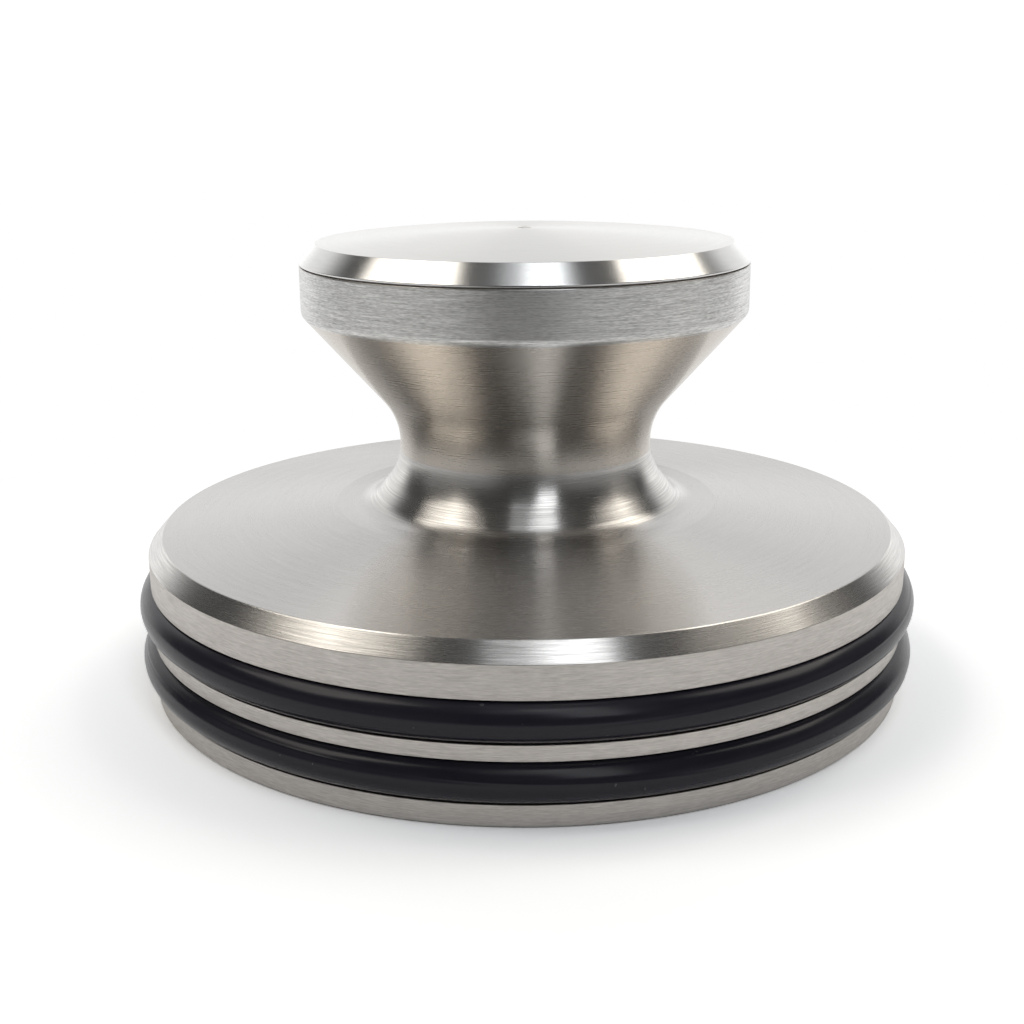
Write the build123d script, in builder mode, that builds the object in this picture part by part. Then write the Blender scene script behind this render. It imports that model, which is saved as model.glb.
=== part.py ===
"""Record weight: a turned steel base, waisted neck and knob in one piece, with two rubber
rings in the rim and a separate cap on the knob. Millimetres, +Z up, origin at the centre of
the foot, with the axis of the turning along Z."""

import os
from math import acos, atan2, cos, degrees, hypot, radians, sin, sqrt, tan

from build123d import *

# Base disc
base_radius = 38.0
foot_chamfer = 0.3
lower_land = 2.16
middle_land = 1.48
upper_land = 3.06
base_chamfer_width = 1.42
base_chamfer_height = 1.6

# Rubber rings and the grooves that hold them
ring_section = 3.75
ring_standout = 1.2
ring_seat_squash = 0.15
groove_side_clearance = 0.025
groove_lip_chamfer = 0.08

# Waisted neck, with a filleted foot and a level land round it
neck_radius = 12.65
neck_height = 21.1
waist_height = 7.8
waist_radius = 6.0
flank_angle = 41.0
flare_radius = 7.1
foot_rise = 1.83
foot_fillet_radius = 2.6
foot_land = 2.12

# Knob
knob_radius = 22.0
knob_edge_radius = 1.0
band_height = 4.64
band_top_chamfer = 0.15

# Seam between the knob and its cap
seam_gap = 0.15
seam_depth = 0.6

# Cap
cap_land = 0.15
cap_chamfer_width = 1.6
cap_chamfer_height = 1.76
cap_crown = 1.15
dimple_radius = 0.7
dimple_angle = 60.0

# Spigot that holds the cap in the knob
spigot_radius = 9.0
spigot_length = 6.0
spigot_chamfer = 0.5
spigot_clearance = 0.02
recess_floor_clearance = 0.5

# Hole for the turntable spindle
spindle_hole_radius = 3.65
spindle_hole_depth = 20.0
spindle_hole_lead_in = 0.8

# Heights up the axis
groove_width = ring_section + 2 * groove_side_clearance
lower_ring_height = lower_land + groove_width / 2
upper_ring_height = lower_ring_height + groove_width + middle_land
base_height = upper_ring_height + groove_width / 2 + upper_land + base_chamfer_height
band_bottom = base_height + neck_height
band_top = band_bottom + band_height
seat_height = band_top + seam_gap
cap_shoulder = seat_height + cap_land + cap_chamfer_height
cap_top = cap_shoulder + cap_crown

# Ring and groove radii
ring_radius = ring_section / 2
ring_centre_radius = base_radius + ring_standout - ring_radius
groove_floor_radius = ring_centre_radius - ring_radius + ring_seat_squash

# Below the waist a straight flank runs down to the foot, in line with the waist's arc. The base's
# top is a shallow cone from the chamfer up to the land.
waist_level = base_height + waist_height
waist_bearing = 180.0
flank_bearing = waist_bearing + flank_angle
waist_centre_radius = neck_radius + waist_radius
flank_top_radius = waist_centre_radius - waist_radius * cos(radians(flank_angle))
flank_top_level = waist_level - waist_radius * sin(radians(flank_angle))
foot_level = base_height + foot_rise
foot_bearing = 270.0
foot_corner_radius = flank_top_radius + (flank_top_level - foot_level) * tan(radians(flank_angle))
foot_fillet_reach = foot_fillet_radius * tan(radians((foot_bearing - flank_bearing) / 2))
foot_centre_radius = foot_corner_radius + foot_fillet_reach
foot_ring_radius = foot_centre_radius + foot_land

# Above the waist the flare runs in line with the knob's cone
flare_centre_radius = neck_radius + flare_radius
knob_corner_dx = knob_radius - flare_centre_radius
knob_corner_dz = band_bottom - waist_level
knob_corner_bearing = degrees(atan2(knob_corner_dz, knob_corner_dx))
knob_corner_distance = hypot(knob_corner_dx, knob_corner_dz)
cone_bearing = knob_corner_bearing + degrees(acos(flare_radius / knob_corner_distance))

# The cap's crown is one wide arc that ends at the rim of the dimple
crown_reach = knob_radius - cap_chamfer_width
crown_radius = (crown_reach**2 + cap_crown**2) / (2 * cap_crown)
dimple_rim = cap_top - crown_radius + sqrt(crown_radius**2 - dimple_radius**2)
dimple_depth = dimple_radius / tan(radians(dimple_angle / 2))

os.makedirs("parts", exist_ok=True)

# Base, neck and knob, turned from one bar
with BuildPart() as body:
    with BuildSketch(Plane.XZ):
        with BuildLine():
            Polyline(
                (0, 0),
                (base_radius - foot_chamfer, 0),
                (base_radius, foot_chamfer),
                (base_radius, base_height - base_chamfer_height),
                (base_radius - base_chamfer_width, base_height),
                (foot_ring_radius, foot_level),
                (foot_centre_radius, foot_level),
            )
            foot = CenterArc(
                (foot_centre_radius, foot_level + foot_fillet_radius),
                foot_fillet_radius,
                foot_bearing,
                flank_bearing - foot_bearing,
            )
            waist = CenterArc(
                (waist_centre_radius, waist_level),
                waist_radius,
                flank_bearing,
                waist_bearing - flank_bearing,
            )
            Line(foot @ 1, waist @ 0)
            flare = CenterArc(
                (flare_centre_radius, waist_level),
                flare_radius,
                waist_bearing,
                cone_bearing - waist_bearing,
            )
            Polyline(
                flare @ 1,
                (knob_radius, band_bottom),
                (knob_radius, band_top - band_top_chamfer),
                (knob_radius - band_top_chamfer, band_top),
                (knob_radius - seam_depth, band_top),
                (knob_radius - seam_depth, seat_height),
                (0, seat_height),
                (0, 0),
            )
        make_face()
    revolve(axis=Axis.Z)
    fillet(body.edges().filter_by_position(Axis.Z, band_bottom, band_bottom), knob_edge_radius)

    # Ring grooves, with their lips eased
    for ring_height in (lower_ring_height, upper_ring_height):
        groove_bottom = ring_height - groove_width / 2
        groove_top = ring_height + groove_width / 2
        with BuildSketch(Plane.XZ):
            with BuildLine():
                Polyline(
                    (groove_floor_radius, groove_bottom),
                    (base_radius - groove_lip_chamfer, groove_bottom),
                    (base_radius + groove_lip_chamfer, groove_bottom - 2 * groove_lip_chamfer),
                    (base_radius + groove_lip_chamfer, groove_top + 2 * groove_lip_chamfer),
                    (base_radius - groove_lip_chamfer, groove_top),
                    (groove_floor_radius, groove_top),
                    close=True,
                )
            make_face()
        revolve(axis=Axis.Z, mode=Mode.SUBTRACT)

    # Recess for the cap's spigot
    with Locations((0, 0, seat_height)):
        Hole(spigot_radius + spigot_clearance, depth=spigot_length + recess_floor_clearance)

    # Blind spindle hole, countersunk at the mouth
    with Locations(Location((0, 0, 0), (180, 0, 0))):
        CounterSinkHole(
            spindle_hole_radius,
            spindle_hole_radius + spindle_hole_lead_in,
            depth=spindle_hole_depth,
            counter_sink_angle=90,
        )

# Cap: a chamfered, slightly crowned disc with a centre-drill dimple, on a short spigot
with BuildPart() as knob_cap:
    with BuildSketch(Plane.XZ):
        with BuildLine():
            rim = Polyline(
                (0, seat_height - spigot_length),
                (spigot_radius - spigot_chamfer, seat_height - spigot_length),
                (spigot_radius, seat_height - spigot_length + spigot_chamfer),
                (spigot_radius, seat_height),
                (knob_radius, seat_height),
                (knob_radius, seat_height + cap_land),
                (crown_reach, cap_shoulder),
            )
            crown = RadiusArc(rim @ 1, (dimple_radius, dimple_rim), -crown_radius)
            Polyline(
                crown @ 1,
                (0, dimple_rim - dimple_depth),
                (0, seat_height - spigot_length),
            )
        make_face()
    revolve(axis=Axis.Z)

for name, piece in (("body", body), ("knob_cap", knob_cap)):
    piece.part.label = name
    export_step(piece.part, f"parts/{name}.step")

# Rubber rings, stretched over the rim and lying flat on the groove floors
for name, ring_height in (("lower_ring", lower_ring_height), ("upper_ring", upper_ring_height)):
    with BuildPart() as ring:
        with BuildSketch(Plane.XZ):
            with Locations((ring_centre_radius, ring_height)):
                Circle(ring_radius)
            with Locations((groove_floor_radius, ring_height)):
                Rectangle(
                    ring_section,
                    ring_section,
                    align=(Align.MAX, Align.CENTER),
                    mode=Mode.SUBTRACT,
                )
        revolve(axis=Axis.Z)
    ring.part.label = name
    export_step(ring.part, f"parts/{name}.step")
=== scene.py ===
from math import acos, atan2, ceil, cos, degrees, exp, pi, radians, sin, sqrt, tan

import bpy
from mathutils import Matrix, Vector


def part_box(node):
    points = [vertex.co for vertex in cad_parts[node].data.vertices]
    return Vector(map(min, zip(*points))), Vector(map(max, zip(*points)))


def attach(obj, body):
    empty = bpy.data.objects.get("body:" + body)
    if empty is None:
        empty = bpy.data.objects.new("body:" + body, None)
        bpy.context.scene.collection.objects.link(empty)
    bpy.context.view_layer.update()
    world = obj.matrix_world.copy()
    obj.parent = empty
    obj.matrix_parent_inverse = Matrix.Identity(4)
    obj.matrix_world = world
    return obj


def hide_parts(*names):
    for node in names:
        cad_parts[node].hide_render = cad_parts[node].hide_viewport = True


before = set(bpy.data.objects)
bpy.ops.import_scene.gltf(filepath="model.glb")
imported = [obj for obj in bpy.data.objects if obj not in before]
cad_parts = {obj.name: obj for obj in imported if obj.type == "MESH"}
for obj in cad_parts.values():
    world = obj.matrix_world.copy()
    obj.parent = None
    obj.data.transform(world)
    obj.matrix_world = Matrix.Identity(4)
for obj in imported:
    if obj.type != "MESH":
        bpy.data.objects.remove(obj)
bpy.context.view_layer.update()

# Body: base, waisted neck and knob, turned in one piece from a bar of stainless steel. The base's
# top is a shallow faced cone that ends in a ring round the neck, where a round-nosed tool cut the
# cove. The knob's band is rubbed with emery, and a blind hole underneath takes the spindle.
mm = 0.001

# Sizes in millimetres and degrees, out from the axis and up from the foot
base_radius = 38.0
base_height = 15.9
chamfer_width = 1.42
chamfer_height = 1.6
foot_chamfer = 0.3
ring_levels = {"lower_ring": 4.06, "upper_ring": 9.34}
groove_half_width = 1.9
groove_floor = 35.6
hole_radius = 3.65
hole_depth = 20.0
hole_lead_in = 0.8
neck_radius = 12.65
waist_level = 23.7
waist_radius = 6.0
waist_bearing = 180
flank_angle = 41.0
foot_fillet = 2.6
foot_level = 17.73
foot_ring_radius = 19.24
flare_radius = 7.1
knob_radius = 22.0
knob_edge_radius = 1.0
band_bottom = 37.0
band_top = 41.64
seam_depth = 0.6
seat_level = 41.79
recess_radius = 9.02
recess_floor = 35.29

# Radii of the broken edges, and of the inner corners that the tools left
broken_edge = 0.12
foot_edge = 0.05
groove_lip = 0.06
groove_corner = 0.1
chamfer_lower_edge = 0.1
chamfer_upper_edge = 0.25
foot_ring_edge = 0.3
seam_corner = 0.03
recess_lip = 0.1
drilled_corner = 0.2

# The cove's flank runs in line with the waist's arc, and its finish ends at the feed ring just
# below the waist. The flare runs in line with the knob's cone, up to where the emery starts.
feed_ring_bearing = 188
flank_bearing = waist_bearing + flank_angle
flank_turn = radians(flank_angle)
waist_centre = (neck_radius + waist_radius, waist_level)
flank_top_radius = waist_centre[0] - waist_radius * cos(flank_turn)
flank_top_level = waist_level - waist_radius * sin(flank_turn)
foot_corner_radius = flank_top_radius + (flank_top_level - foot_level) * tan(flank_turn)
flare_centre = (neck_radius + flare_radius, waist_level)
knob_corner = Vector((knob_radius - flare_centre[0], band_bottom - waist_level))
cone_bearing = atan2(knob_corner.y, knob_corner.x) + acos(flare_radius / knob_corner.length)
cone_start_radius = flare_centre[0] + flare_radius * cos(cone_bearing)
cone_start_level = waist_level + flare_radius * sin(cone_bearing)
emery_overlap = 0.1
emery_reach = knob_edge_radius * tan((pi - cone_bearing) / 2) + emery_overlap
emery_start_radius = knob_radius - emery_reach * sin(cone_bearing)
emery_start_level = band_bottom + emery_reach * cos(cone_bearing)


def bend(centre, radius, start, end, finish):
    """Corners along an arc between two bearings in degrees, without its two ends."""
    longest_step = 2.5
    steps = ceil(abs(end - start) / longest_step)
    corners = []
    for step in range(1, steps):
        bearing = radians(start + (end - start) * step / steps)
        reach = centre[0] + radius * cos(bearing)
        level = centre[1] + radius * sin(bearing)
        corners.append((reach, level, 0, finish))
    return corners


# Half profile of the body, as corners (radius, height, edge radius, finish of what starts there)
body_corners = [
    (0, hole_depth, 0, "rim"),
    (hole_radius, hole_depth, drilled_corner, "rim"),
    (hole_radius, hole_lead_in, broken_edge, "rim"),
    (hole_radius + hole_lead_in, 0, broken_edge, "top"),
    (base_radius - foot_chamfer, 0, foot_edge, "rim"),
    (base_radius, foot_chamfer, foot_edge, "rim"),
]
for level in ring_levels.values():
    body_corners += [
        (base_radius, level - groove_half_width, groove_lip, "rim"),
        (groove_floor, level - groove_half_width, groove_corner, "rim"),
        (groove_floor, level + groove_half_width, groove_corner, "rim"),
        (base_radius, level + groove_half_width, groove_lip, "rim"),
    ]
body_corners += [
    (base_radius, base_height - chamfer_height, chamfer_lower_edge, "chamfer"),
    (base_radius - chamfer_width, base_height, chamfer_upper_edge, "top"),
    (foot_ring_radius, foot_level, foot_ring_edge, "top"),
    (foot_corner_radius, foot_level, foot_fillet, "cove"),
    (flank_top_radius, flank_top_level, 0, "cove"),
]
body_corners += bend(waist_centre, waist_radius, flank_bearing, feed_ring_bearing, "cove")
body_corners += bend(waist_centre, waist_radius, feed_ring_bearing, waist_bearing, "neck")
body_corners += [(neck_radius, waist_level, 0, "neck")]
body_corners += bend(flare_centre, flare_radius, waist_bearing, degrees(cone_bearing), "neck")
body_corners += [
    (cone_start_radius, cone_start_level, 0, "neck"),
    (emery_start_radius, emery_start_level, 0, "band"),
    (knob_radius, band_bottom, knob_edge_radius, "band"),
    (knob_radius, band_top, broken_edge, "rim"),
    (knob_radius - seam_depth, band_top, seam_corner, "rim"),
    (knob_radius - seam_depth, seat_level, seam_corner, "rim"),
    (recess_radius, seat_level, recess_lip, "rim"),
    (recess_radius, recess_floor, drilled_corner, "rim"),
    (0, recess_floor, 0, "rim"),
]


def cleared_nodes(owner):
    owner.use_nodes = True
    owner.node_tree.nodes.clear()
    return owner.node_tree


def feed(tree, value, socket):
    """Links a socket or sets a plain value."""
    if isinstance(value, bpy.types.NodeSocket):
        tree.links.new(value, socket)
    else:
        socket.default_value = value


def compute(tree, operation, first, second=0.0):
    node = tree.nodes.new("ShaderNodeMath")
    node.operation = operation
    feed(tree, first, node.inputs[0])
    feed(tree, second, node.inputs[1])
    return node.outputs[0]


def spread(tree, value, low, high, start=0.0, end=1.0, smooth=False):
    """Runs from low to high as the value goes from start to end, and stays there beyond them."""
    node = tree.nodes.new("ShaderNodeMapRange")
    node.interpolation_type = "SMOOTHSTEP" if smooth else "LINEAR"
    feed(tree, value, node.inputs["Value"])
    node.inputs["From Min"].default_value = start
    node.inputs["From Max"].default_value = end
    node.inputs["To Min"].default_value = low
    node.inputs["To Max"].default_value = high
    return node.outputs[0]


def blended(tree, share, first, second):
    """Runs from the first colour to the second as the share goes from 0 to 1."""
    node = tree.nodes.new("ShaderNodeMix")
    node.data_type = "RGBA"
    feed(tree, share, node.inputs["Factor"])
    node.inputs["A"].default_value = (*first, 1)
    node.inputs["B"].default_value = (*second, 1)
    return node.outputs["Result"]


def surfaced(tree, shader, height, relief):
    """Gives a shader a relief in metres and makes it the material's surface."""
    bump = tree.nodes.new("ShaderNodeBump")
    bump.inputs["Strength"].default_value = 1.0
    bump.inputs["Distance"].default_value = relief
    tree.links.new(height, bump.inputs["Height"])
    tree.links.new(bump.outputs[0], shader.inputs["Normal"])
    output = tree.nodes.new("ShaderNodeOutputMaterial")
    tree.links.new(shader.outputs[0], output.inputs["Surface"])


# Rings that a tool or emery leaves round the axis, alike on flats, cones and walls. The noise runs
# fast along the radius and the axis, and slowly round the axis, where breaks cut the rings short.
lathe_marks = bpy.data.node_groups.new("lathe_marks", "ShaderNodeTree")
for name in ("Rings per metre", "Breaks", "Detail"):
    lathe_marks.interface.new_socket(name, in_out="INPUT", socket_type="NodeSocketFloat")
lathe_marks.interface.new_socket("Rings", in_out="OUTPUT", socket_type="NodeSocketFloat")
given = lathe_marks.nodes.new("NodeGroupInput").outputs
place = lathe_marks.nodes.new("ShaderNodeTexCoord")
axes = lathe_marks.nodes.new("ShaderNodeSeparateXYZ")
lathe_marks.links.new(place.outputs["Object"], axes.inputs[0])
x, y, z = axes.outputs
x_squared = compute(lathe_marks, "MULTIPLY", x, x)
y_squared = compute(lathe_marks, "MULTIPLY", y, y)
off_axis = compute(lathe_marks, "SQRT", compute(lathe_marks, "ADD", x_squared, y_squared))
smallest_radius = 1e-5
radius = compute(lathe_marks, "MAXIMUM", off_axis, smallest_radius)
round_x = compute(lathe_marks, "DIVIDE", x, radius)
round_y = compute(lathe_marks, "DIVIDE", y, radius)
across = lathe_marks.nodes.new("ShaderNodeCombineXYZ")
noise = lathe_marks.nodes.new("ShaderNodeTexNoise")
noise.noise_dimensions = "4D"
noise.inputs["Scale"].default_value = 1.0
for value, pitch, socket in (
    (radius, "Rings per metre", across.inputs[0]),
    (z, "Rings per metre", across.inputs[1]),
    (round_x, "Breaks", across.inputs[2]),
    (round_y, "Breaks", noise.inputs["W"]),
):
    lathe_marks.links.new(compute(lathe_marks, "MULTIPLY", value, given[pitch]), socket)
lathe_marks.links.new(across.outputs[0], noise.inputs["Vector"])
lathe_marks.links.new(given["Detail"], noise.inputs["Detail"])
result = lathe_marks.nodes.new("NodeGroupOutput")
lathe_marks.links.new(noise.outputs["Fac"], result.inputs["Rings"])


def lathe_rings(tree, rings_per_metre, breaks, detail):
    """Places the lathe marks in a material."""
    group = tree.nodes.new("ShaderNodeGroup")
    group.node_tree = lathe_marks
    group.inputs["Rings per metre"].default_value = rings_per_metre
    group.inputs["Breaks"].default_value = breaks
    group.inputs["Detail"].default_value = detail
    return group.outputs["Rings"]


def marked_steel(name, colour, roughness, anisotropy, fine, coarse, relief, tone, detail=3.0):
    """Bare steel with lathe marks, which stretch what it mirrors across them. Fine and coarse rings
    are (per metre, breaks), relief is their height in metres, tone is how far they lighten or darken
    the metal, and detail breaks them up."""
    material = bpy.data.materials.new(name)
    tree = cleared_nodes(material)
    shader = tree.nodes.new("ShaderNodeBsdfPrincipled")
    shader.inputs["Metallic"].default_value = 1.0
    shader.inputs["Anisotropic"].default_value = anisotropy
    quarter_turn = 0.25
    shader.inputs["Anisotropic Rotation"].default_value = quarter_turn
    around = tree.nodes.new("ShaderNodeTangent")
    around.direction_type = "RADIAL"
    around.axis = "Z"
    tree.links.new(around.outputs[0], shader.inputs["Tangent"])
    fine_rings = lathe_rings(tree, *fine, detail)
    coarse_rings = lathe_rings(tree, *coarse, detail)
    rings = compute(tree, "MULTIPLY", compute(tree, "ADD", fine_rings, coarse_rings), 0.5)
    crests = spread(tree, rings, low=0.0, high=1.0, start=1 / 3, end=2 / 3)
    dark = [part * (1 - tone) for part in colour]
    light = [min(1, part * (1 + tone)) for part in colour]
    tree.links.new(blended(tree, crests, dark, light), shader.inputs["Base Color"])
    swing_per_tone = 3
    largest_swing = 0.15
    swing = min(largest_swing, swing_per_tone * tone)
    dullness = spread(tree, crests, low=roughness * (1 + swing), high=roughness * (1 - swing))
    tree.links.new(dullness, shader.inputs["Roughness"])
    surfaced(tree, shader, rings, relief)
    return material


bright_grey = (0.615, 0.6, 0.58)
body_metals = {
    # Rim, grooves, holes and seam
    "rim": marked_steel(
        "rim_steel",
        colour=(0.58, 0.547, 0.515),
        roughness=0.44,
        anisotropy=0.45,
        fine=(14000, 50),
        coarse=(10000, 16),
        relief=2.5e-6,
        tone=0.14,
        detail=1.0,
    ),
    # Base's chamfer
    "chamfer": marked_steel(
        "chamfer_steel",
        colour=bright_grey,
        roughness=0.26,
        anisotropy=0.87,
        fine=(12000, 12),
        coarse=(7500, 7),
        relief=9.0e-6,
        tone=0.2,
        detail=1.5,
    ),
    # Base's top and the underside
    "top": marked_steel(
        "faced_steel",
        colour=(0.58, 0.57, 0.56),
        roughness=0.26,
        anisotropy=0.92,
        fine=(11000, 14),
        coarse=(4500, 4),
        relief=0.3e-6,
        tone=0.03,
    ),
    # Fillet and flank below the feed ring
    "cove": marked_steel(
        "cove_steel",
        colour=bright_grey,
        roughness=0.25,
        anisotropy=0.9,
        fine=(15000, 3.0),
        coarse=(10000, 1.2),
        relief=5.0e-6,
        tone=0.2,
        detail=2.0,
    ),
    # Waist, flare and cone, tinted warmer than the rest of the steel: painted warm light, standing in for
    # the warm lamps that the cone mirrors
    "neck": marked_steel(
        "neck_steel",
        colour=(0.6, 0.557, 0.505),
        roughness=0.27,
        anisotropy=0.93,
        fine=(9000, 9),
        coarse=(5000, 4),
        relief=0.15e-6,
        tone=0.012,
    ),
    # Knob's band
    "band": marked_steel(
        "emery_steel",
        colour=(0.605, 0.6, 0.588),
        roughness=0.34,
        anisotropy=0.8,
        fine=(15000, 38),
        coarse=(11000, 7),
        relief=6.0e-6,
        tone=0.36,
        detail=1.0,
    ),
}


def eased(corners):
    """Points of a half profile in millimetres, each with the finish of the surface that starts there.
    Each corner with an edge radius becomes a small round edge, with a point close beside it on both
    sides so that the flats shade flat."""
    small_edge = 0.5
    small_edge_step = radians(22.5)
    fillet_step = radians(6)
    fewest_steps = 3
    guard_share = 0.3
    widest_guard = 0.03
    points = [(Vector(corners[0][:2]), corners[0][3])]
    for before, here, after in zip(corners, corners[1:], corners[2:]):
        corner = Vector(here[:2])
        edge_radius = here[2]
        if edge_radius == 0:
            points.append((corner, here[3]))
            continue
        back = (Vector(before[:2]) - corner).normalized()
        ahead = (Vector(after[:2]) - corner).normalized()
        half = back.angle(ahead) / 2
        reach = edge_radius / tan(half)
        centre = corner + (back + ahead).normalized() * edge_radius / sin(half)
        first = corner + back * reach - centre
        last = corner + ahead * reach - centre
        turn = atan2(first.x * last.y - first.y * last.x, first.dot(last))
        longest_step = fillet_step if edge_radius > small_edge else small_edge_step
        steps = max(fewest_steps, ceil(abs(turn) / longest_step))
        guard = min(widest_guard, edge_radius * guard_share)
        points.append((centre + first + back * guard, before[3]))
        for step in range(steps + 1):
            spin = Matrix.Rotation(turn * step / steps, 2)
            points.append((centre + spin @ first, before[3] if step < steps / 2 else here[3]))
        points.append((centre + last + ahead * guard, here[3]))
    points.append((Vector(corners[-1][:2]), corners[-1][3]))
    return points


def mesh_piece(name, vertices, faces, materials):
    """A smooth-shaded mesh with its materials, placed in the scene."""
    mesh = bpy.data.meshes.new(name)
    mesh.from_pydata(vertices, [], faces)
    mesh.shade_smooth()
    for material in materials:
        mesh.materials.append(material)
    piece = bpy.data.objects.new(name, mesh)
    bpy.context.scene.collection.objects.link(piece)
    return piece


segments_round = 384


def turned(name, points, metals):
    """A closed piece from a half profile spun about the Z axis, with triangles where it starts and
    ends on the axis. Metals holds the material of each finish."""
    vertices = []
    rows = []
    for point, _ in points:
        if point.x == 0:
            rows.append([len(vertices)] * segments_round)
            vertices.append((0, 0, point.y * mm))
            continue
        rows.append(range(len(vertices), len(vertices) + segments_round))
        for k in range(segments_round):
            angle = 2 * pi * k / segments_round
            vertices.append((point.x * cos(angle) * mm, point.x * sin(angle) * mm, point.y * mm))
    faces = []
    slots = []
    finishes = list(metals)
    for lower, upper, (_, finish) in zip(rows, rows[1:], points):
        for k in range(segments_round):
            beyond = (k + 1) % segments_round
            corners = (lower[k], lower[beyond], upper[beyond], upper[k])
            faces.append(list(dict.fromkeys(corners)))
            slots.append(finishes.index(finish))
    piece = mesh_piece(name, vertices, faces, metals.values())
    piece.data.polygons.foreach_set("material_index", slots)
    return piece


body = turned("turned_body", eased(body_corners), body_metals)
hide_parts("body")
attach(body, "root")

# Rubber rings: two black moulded rings of round section, stretched over the rim into its grooves.
# Stretching rolls them a little, so the thin mould line wanders up and down round each ring.
ring_section = 3.75
mould_line_height = 0.04
ring_radius = ring_section / 2 - mould_line_height
ring_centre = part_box("lower_ring")[1].x / mm - ring_section / 2

# The mould line's width and course, in degrees round the section, and where it runs highest
mould_line_width = 2.2
mould_line_tilt = 4
mould_line_wander = 38
mould_line_peak = {"lower_ring": 200, "upper_ring": 20}
section_steps = 90
rubber_black = (0.0165, 0.0155, 0.024)
dust_grey = (0.16, 0.165, 0.18)


def grain(tree, scale, detail):
    """Noise fixed to the piece, with its scale in lumps per metre."""
    place = tree.nodes.new("ShaderNodeTexCoord")
    noise = tree.nodes.new("ShaderNodeTexNoise")
    noise.inputs["Scale"].default_value = scale
    noise.inputs["Detail"].default_value = detail
    tree.links.new(place.outputs["Object"], noise.inputs["Vector"])
    return noise.outputs["Fac"]


# A faint bloom on the rubber, wiped along the ring, with a few specks of dust
rubber = bpy.data.materials.new("ring_rubber")
tree = cleared_nodes(rubber)
shader = tree.nodes.new("ShaderNodeBsdfPrincipled")
shader.inputs["IOR"].default_value = 1.33
bloom = grain(tree, scale=260.0, detail=5.0)
wiped = lathe_rings(tree, rings_per_metre=2600.0, breaks=4.0, detail=2.0)
veil = compute(tree, "MULTIPLY", bloom, wiped)
haze = spread(tree, veil, low=0.0, high=0.08)
specks = spread(tree, grain(tree, scale=1700.0, detail=0.0), low=0.0, high=0.3, start=0.84, end=0.88)
dusty = compute(tree, "MAXIMUM", specks, haze)
tree.links.new(blended(tree, dusty, rubber_black, dust_grey), shader.inputs["Base Color"])
tree.links.new(spread(tree, veil, low=0.15, high=0.42), shader.inputs["Roughness"])
surfaced(tree, shader, grain(tree, scale=5000.0, detail=2.0), relief=2.0e-6)

for name, level in ring_levels.items():
    vertices = []
    faces = []
    for k in range(segments_round):
        around = 2 * pi * k / segments_round
        wander = mould_line_wander * cos(around - radians(mould_line_peak[name]))
        line_angle = radians(mould_line_tilt + wander)
        here = k * section_steps
        beyond = (k + 1) % segments_round * section_steps
        for step in range(section_steps):
            turn = -180 + 360 * step / section_steps
            swell = ring_radius + mould_line_height * exp(-((turn / mould_line_width) ** 2))
            angle = line_angle + radians(turn)
            reach = max(groove_floor, ring_centre + swell * cos(angle))
            height = level + swell * sin(angle)
            vertices.append((reach * cos(around) * mm, reach * sin(around) * mm, height * mm))
            up = (step + 1) % section_steps
            faces.append((here + step, beyond + step, beyond + up, here + up))
    ring = mesh_piece("rubber_" + name, vertices, faces, [rubber])
    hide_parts(name)
    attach(ring, "root")

# Knob cap: a separate steel disc with a polished chamfer and a finely faced, slightly crowned top.
# The lathe's centre left a dimple in the middle, and a spigot below holds the cap in the knob.
cap_top = 44.85
cap_edge = 41.94
cap_shoulder = 43.7
cap_face_radius = 20.4
spigot_radius = 9.0
spigot_bottom = 35.79
dimple_radius = 0.7
dimple_angle = 60.0
spigot_edge = 0.4
spigot_corner = 0.05
cap_lower_edge = 0.03
cap_chamfer_edge = 0.06
dimple_edge = 0.08
crown_steps = 24
crown = cap_top - cap_shoulder
crown_radius = (cap_face_radius**2 + crown**2) / (2 * crown)
crown_centre = cap_top - crown_radius
dimple_rim = crown_centre + sqrt(crown_radius**2 - dimple_radius**2)
dimple_bottom = cap_top - dimple_radius / tan(radians(dimple_angle / 2))

cap_corners = [
    (0, spigot_bottom, 0, "edge"),
    (spigot_radius, spigot_bottom, spigot_edge, "edge"),
    (spigot_radius, seat_level, spigot_corner, "edge"),
    (knob_radius, seat_level, cap_lower_edge, "edge"),
    (knob_radius, cap_edge, cap_chamfer_edge, "edge"),
    (cap_face_radius, cap_shoulder, cap_chamfer_edge, "face"),
]
for step in range(1, crown_steps):
    reach = cap_face_radius + (dimple_radius - cap_face_radius) * step / crown_steps
    cap_corners.append((reach, crown_centre + sqrt(crown_radius**2 - reach**2), 0, "face"))
cap_corners += [
    (dimple_radius, dimple_rim, dimple_edge, "dimple"),
    (0, dimple_bottom, 0, "dimple"),
]
cap_metals = {
    # Chamfer, land and spigot
    "edge": marked_steel(
        "cap_edge_steel",
        colour=(0.74, 0.735, 0.725),
        roughness=0.2,
        anisotropy=0.6,
        fine=(9000, 14),
        coarse=(3000, 5),
        relief=0.5e-6,
        tone=0.03,
    ),
    # Crowned top
    "face": marked_steel(
        "cap_face_steel",
        colour=(0.8, 0.795, 0.78),
        roughness=0.3,
        anisotropy=0.6,
        fine=(9000, 20),
        coarse=(2500, 3),
        relief=0.8e-6,
        tone=0.02,
    ),
    # Dimple in the middle, pale and dull: a painted highlight that stands in for the glare on it
    "dimple": marked_steel(
        "dimple_steel",
        colour=(0.95, 0.94, 0.92),
        roughness=0.75,
        anisotropy=0.0,
        fine=(9000, 3),
        coarse=(4000, 2),
        relief=0.5e-6,
        tone=0.05,
    ),
}
cap = turned("turned_cap", eased(cap_corners), cap_metals)
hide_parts("knob_cap")
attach(cap, "root")

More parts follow.
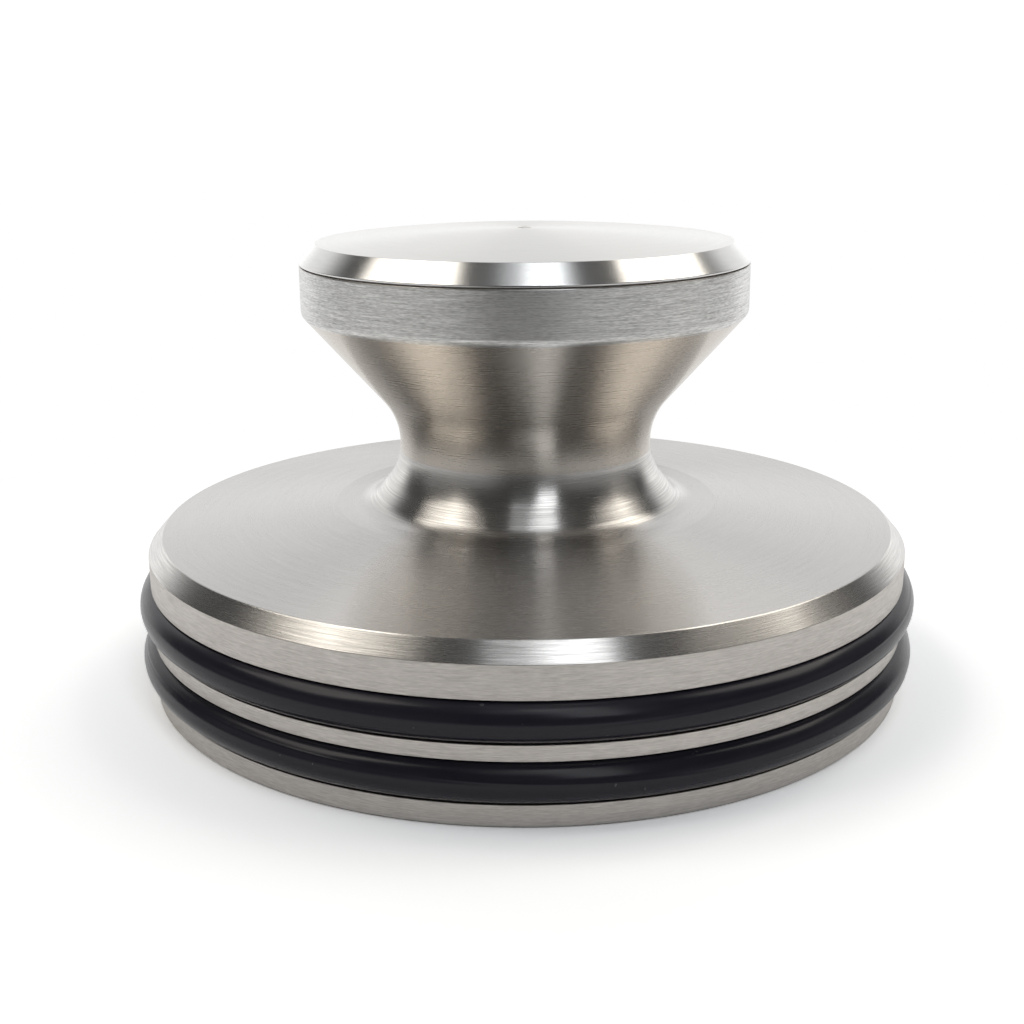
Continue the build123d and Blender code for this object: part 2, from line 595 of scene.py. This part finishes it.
# Floor: white paper under the object. Near the object it keeps the shadow; further out it is plain
# white to the camera and in the metal, so that it runs into the background. It is open under the
# foot and clear from below, so that the underside can be looked at. Its sizes are in metres.
floor_front = -0.12
floor_back = 0.8
floor_side = 0.5
opening_radius = (base_radius - 2 * foot_chamfer) * mm
opening_steps = 48
shadow_radius = 0.04
plain_radius = 0.11
paper_colour = (0.86, 0.86, 0.86)
paper_colour_seen = (1.26, 1.29, 1.33)
camera_lift = 0.18


def mixed(tree, share, first, second):
    """Runs from the first shader to the second as the share goes from 0 to 1."""
    node = tree.nodes.new("ShaderNodeMixShader")
    tree.links.new(share, node.inputs["Fac"])
    tree.links.new(first.outputs[0], node.inputs[1])
    tree.links.new(second.outputs[0], node.inputs[2])
    return node


paper = bpy.data.materials.new("white_paper")
tree = cleared_nodes(paper)
ray = tree.nodes.new("ShaderNodeLightPath").outputs
seen = compute(tree, "MAXIMUM", ray["Is Camera Ray"], ray["Is Glossy Ray"])
seen = compute(tree, "MAXIMUM", seen, ray["Is Transmission Ray"])
place = tree.nodes.new("ShaderNodeTexCoord")
away = tree.nodes.new("ShaderNodeVectorMath")
away.operation = "LENGTH"
tree.links.new(place.outputs["Object"], away.inputs[0])
distance = away.outputs["Value"]
fade = spread(tree, distance, low=0.0, high=1.0, start=shadow_radius, end=plain_radius, smooth=True)
diffuse = tree.nodes.new("ShaderNodeBsdfDiffuse")
shade = blended(tree, seen, paper_colour, paper_colour_seen)
tree.links.new(shade, diffuse.inputs["Color"])
lift = tree.nodes.new("ShaderNodeEmission")
lift.inputs["Color"].default_value = (1, 1, 1, 1)
lift_strength = compute(tree, "MULTIPLY", ray["Is Camera Ray"], camera_lift)
tree.links.new(lift_strength, lift.inputs["Strength"])
lifted = tree.nodes.new("ShaderNodeAddShader")
tree.links.new(diffuse.outputs[0], lifted.inputs[0])
tree.links.new(lift.outputs[0], lifted.inputs[1])
white = tree.nodes.new("ShaderNodeEmission")
white.inputs["Color"].default_value = (1, 1, 1, 1)
faded = mixed(tree, compute(tree, "MULTIPLY", seen, fade), lifted, white)
face = tree.nodes.new("ShaderNodeNewGeometry")
from_below = compute(tree, "MULTIPLY", face.outputs["Backfacing"], ray["Is Camera Ray"])
two_sided = mixed(tree, from_below, faded, tree.nodes.new("ShaderNodeBsdfTransparent"))
output = tree.nodes.new("ShaderNodeOutputMaterial")
tree.links.new(two_sided.outputs[0], output.inputs["Surface"])

floor_corners = []
floor_halves = []
for side in (1, -1):
    half = [(0, floor_front, 0), (side * floor_side, floor_front, 0)]
    half += [(side * floor_side, floor_back, 0), (0, floor_back, 0)]
    for step in range(opening_steps + 1):
        angle = pi * step / opening_steps
        half.append((side * opening_radius * sin(angle), opening_radius * cos(angle), 0))
    first = len(floor_corners)
    floor_corners += half
    floor_halves.append(list(range(first, first + len(half)))[::side])
floor = mesh_piece("floor", floor_corners, floor_halves, [paper])

# Studio light: soft panels with dark gaps between them, which give the metal its stripes. The large
# ones stand at the left, in front and at the right, smaller ones stand beside and above them, and
# one below lights only the foot. The room is white behind, with pale low walls at the sides.
panel_distance = 0.8
warm = (1.0, 0.945, 0.86)
cool = (0.94, 0.97, 1.0)


def panel(name, azimuth, elevation, width, height, radiance, colour, lean=0):
    """A panel that faces the object, in degrees and metres. Azimuth 0 is the camera's side and turns
    to +X, and lean rolls the panel in its own plane."""
    lamp = bpy.data.lights.new(name, "AREA")
    lamp.shape = "RECTANGLE"
    lamp.size = width
    lamp.size_y = height
    lamp.color = colour
    lamp.energy = radiance * pi * width * height
    item = bpy.data.objects.new(name, lamp)
    turn = radians(azimuth)
    rise = radians(elevation)
    spot = Vector((sin(turn) * cos(rise), -cos(turn) * cos(rise), sin(rise))) * panel_distance
    facing = spot.to_track_quat("Z", "Y").to_matrix().to_4x4()
    item.matrix_world = Matrix.Translation(spot) @ facing @ Matrix.Rotation(radians(lean), 4, "Z")
    item.visible_camera = False
    bpy.context.scene.collection.objects.link(item)


panel("left_panel", azimuth=-91, elevation=56, width=0.48, height=0.4, radiance=2.3, colour=warm)
panel("left_front_panel", azimuth=-75, elevation=56, width=0.14, height=0.3, radiance=0.9, colour=warm)
panel("left_back_panel", azimuth=-130, elevation=61, width=0.2, height=0.2, radiance=2.8, colour=warm)
panel("front_panel", azimuth=20, elevation=52, width=0.2, height=0.7, radiance=2.2, colour=cool)
panel("front_left_panel", azimuth=-5, elevation=62, width=0.18, height=0.34, radiance=0.8, colour=cool)
panel("right_panel", azimuth=113, elevation=51.5, width=0.48, height=0.39, radiance=2.45, colour=warm)
panel("right_back_panel", azimuth=137, elevation=61, width=0.2, height=0.2, radiance=1.6, colour=warm)
panel("right_low_panel", azimuth=96, elevation=25, width=0.4, height=0.32, radiance=0.12, colour=warm)
panel("top_panel", azimuth=20, elevation=82, width=0.22, height=0.36, radiance=0.68, colour=cool, lean=20)
panel("foot_panel", azimuth=0, elevation=-70, width=0.9, height=0.7, radiance=0.9, colour=cool)

# The room's brightness by direction, from -1 to 1 along each axis, and plain white to the camera
world = bpy.data.worlds.new("studio")
bpy.context.scene.world = world
tree = cleared_nodes(world)
place = tree.nodes.new("ShaderNodeTexCoord")
axes = tree.nodes.new("ShaderNodeSeparateXYZ")
tree.links.new(place.outputs["Generated"], axes.inputs[0])
sideways, back, up = axes.outputs
backdrop = spread(tree, back, low=0.05, high=0.92, start=0.45, end=0.75, smooth=True)
horizon = spread(tree, up, low=1.3, high=1.0, start=0.05, end=0.3, smooth=True)
behind = compute(tree, "MULTIPLY", backdrop, horizon)
ceiling = spread(tree, up, low=0.0, high=0.1, start=0.6, end=1.0)
off_centre = compute(tree, "ABSOLUTE", sideways)
aside = spread(tree, off_centre, low=0.0, high=0.7, start=0.1, end=0.75, smooth=True)
below = spread(tree, up, low=0.0, high=1.0, start=0.04, end=-0.06, smooth=True)
far_paper = compute(tree, "MULTIPLY", below, aside)
wall_front = spread(tree, back, low=0.0, high=0.42, start=0.35, end=0.0, smooth=True)
wall_foot = spread(tree, up, low=0.0, high=1.0, start=0.05, end=0.17, smooth=True)
wall_head = spread(tree, up, low=0.0, high=1.0, start=0.38, end=0.25, smooth=True)
walls = compute(tree, "MULTIPLY", compute(tree, "MULTIPLY", wall_front, wall_foot), wall_head)
walls = compute(tree, "MULTIPLY", walls, aside)
ray = tree.nodes.new("ShaderNodeLightPath").outputs
brightness = behind
for part in (ceiling, far_paper, walls, ray["Is Camera Ray"]):
    brightness = compute(tree, "MAXIMUM", brightness, part)
sky = tree.nodes.new("ShaderNodeBackground")
sky.inputs["Color"].default_value = (1, 1, 1, 1)
tree.links.new(brightness, sky.inputs["Strength"])
output = tree.nodes.new("ShaderNodeOutputWorld")
tree.links.new(sky.outputs[0], output.inputs["Surface"])

# Camera: at the photograph's angle, close to the object and a little above the knob. The focal
# length was measured in the photograph's pixels, and the pitch and roll are in radians.
camera_place = Vector((-1.407, -144.61, 57.55)) * mm
camera_pitch = radians(16.068)
camera_roll = -0.00765
photo_width = 1024
photo_focal_length = 1457.87
camera_data = bpy.data.cameras.new("camera")
camera_data.sensor_width = 36.0
camera_data.lens = camera_data.sensor_width * photo_focal_length / photo_width
camera_data.clip_start = 0.01
camera = bpy.data.objects.new("camera", camera_data)
camera.matrix_world = (
    Matrix.Translation(camera_place)
    @ Matrix.Rotation(pi / 2 - camera_pitch, 4, "X")
    @ Matrix.Rotation(camera_roll, 4, "Z")
)
bpy.context.scene.collection.objects.link(camera)
bpy.context.scene.camera = camera
bpy.context.scene.view_settings.view_transform = "Standard"
